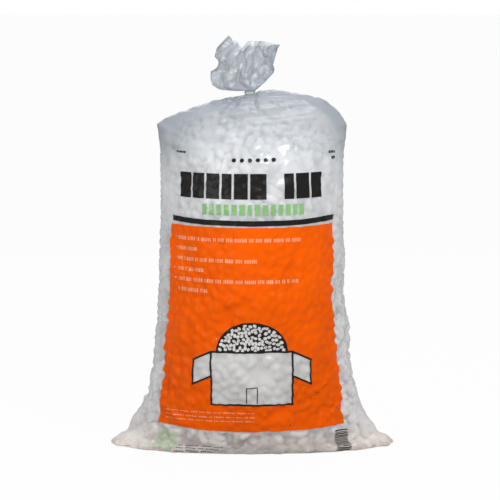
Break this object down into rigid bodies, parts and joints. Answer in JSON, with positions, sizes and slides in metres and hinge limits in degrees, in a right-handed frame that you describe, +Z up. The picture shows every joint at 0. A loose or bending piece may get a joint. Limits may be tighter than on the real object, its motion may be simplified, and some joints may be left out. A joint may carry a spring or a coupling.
{
  "type": "packing peanut bag",
  "caption": "Clear film sack of loose packing peanuts, heat sealed across the foot and gathered shut under a flared tuft, with a printed front.",
  "frame": {"origin": "middle of the flat patch that the bag stands on, under the middle of its box", "axes": "+Z up through the neck, +X to the right of the printed front, -Y out of the printed front"},
  "size_m": [0.6062, 0.394, 0.869],
  "materials": {
    "clear_film": "thin clear polyethylene film, faintly milky, soft gloss, with ink printed on the front",
    "starch_foam": "dry white puffed starch foam, finely pitted, matt",
    "clear_tape": "clear adhesive tape, glossy",
    "orange_ink": "solid orange ink on the film, with the film's own gloss",
    "black_ink": "solid black ink on the film, with the film's own gloss",
    "green_ink": "light green ink on the film, with the film's own gloss",
    "pale_ink": "thin white ink on the film, with the film's own gloss"
  },
  "bodies": {
    "root": {"bag_film": "clear_film", "peanut_fill": "starch_foam", "neck_tape": "clear_tape"}
  },
  "joints": []
}
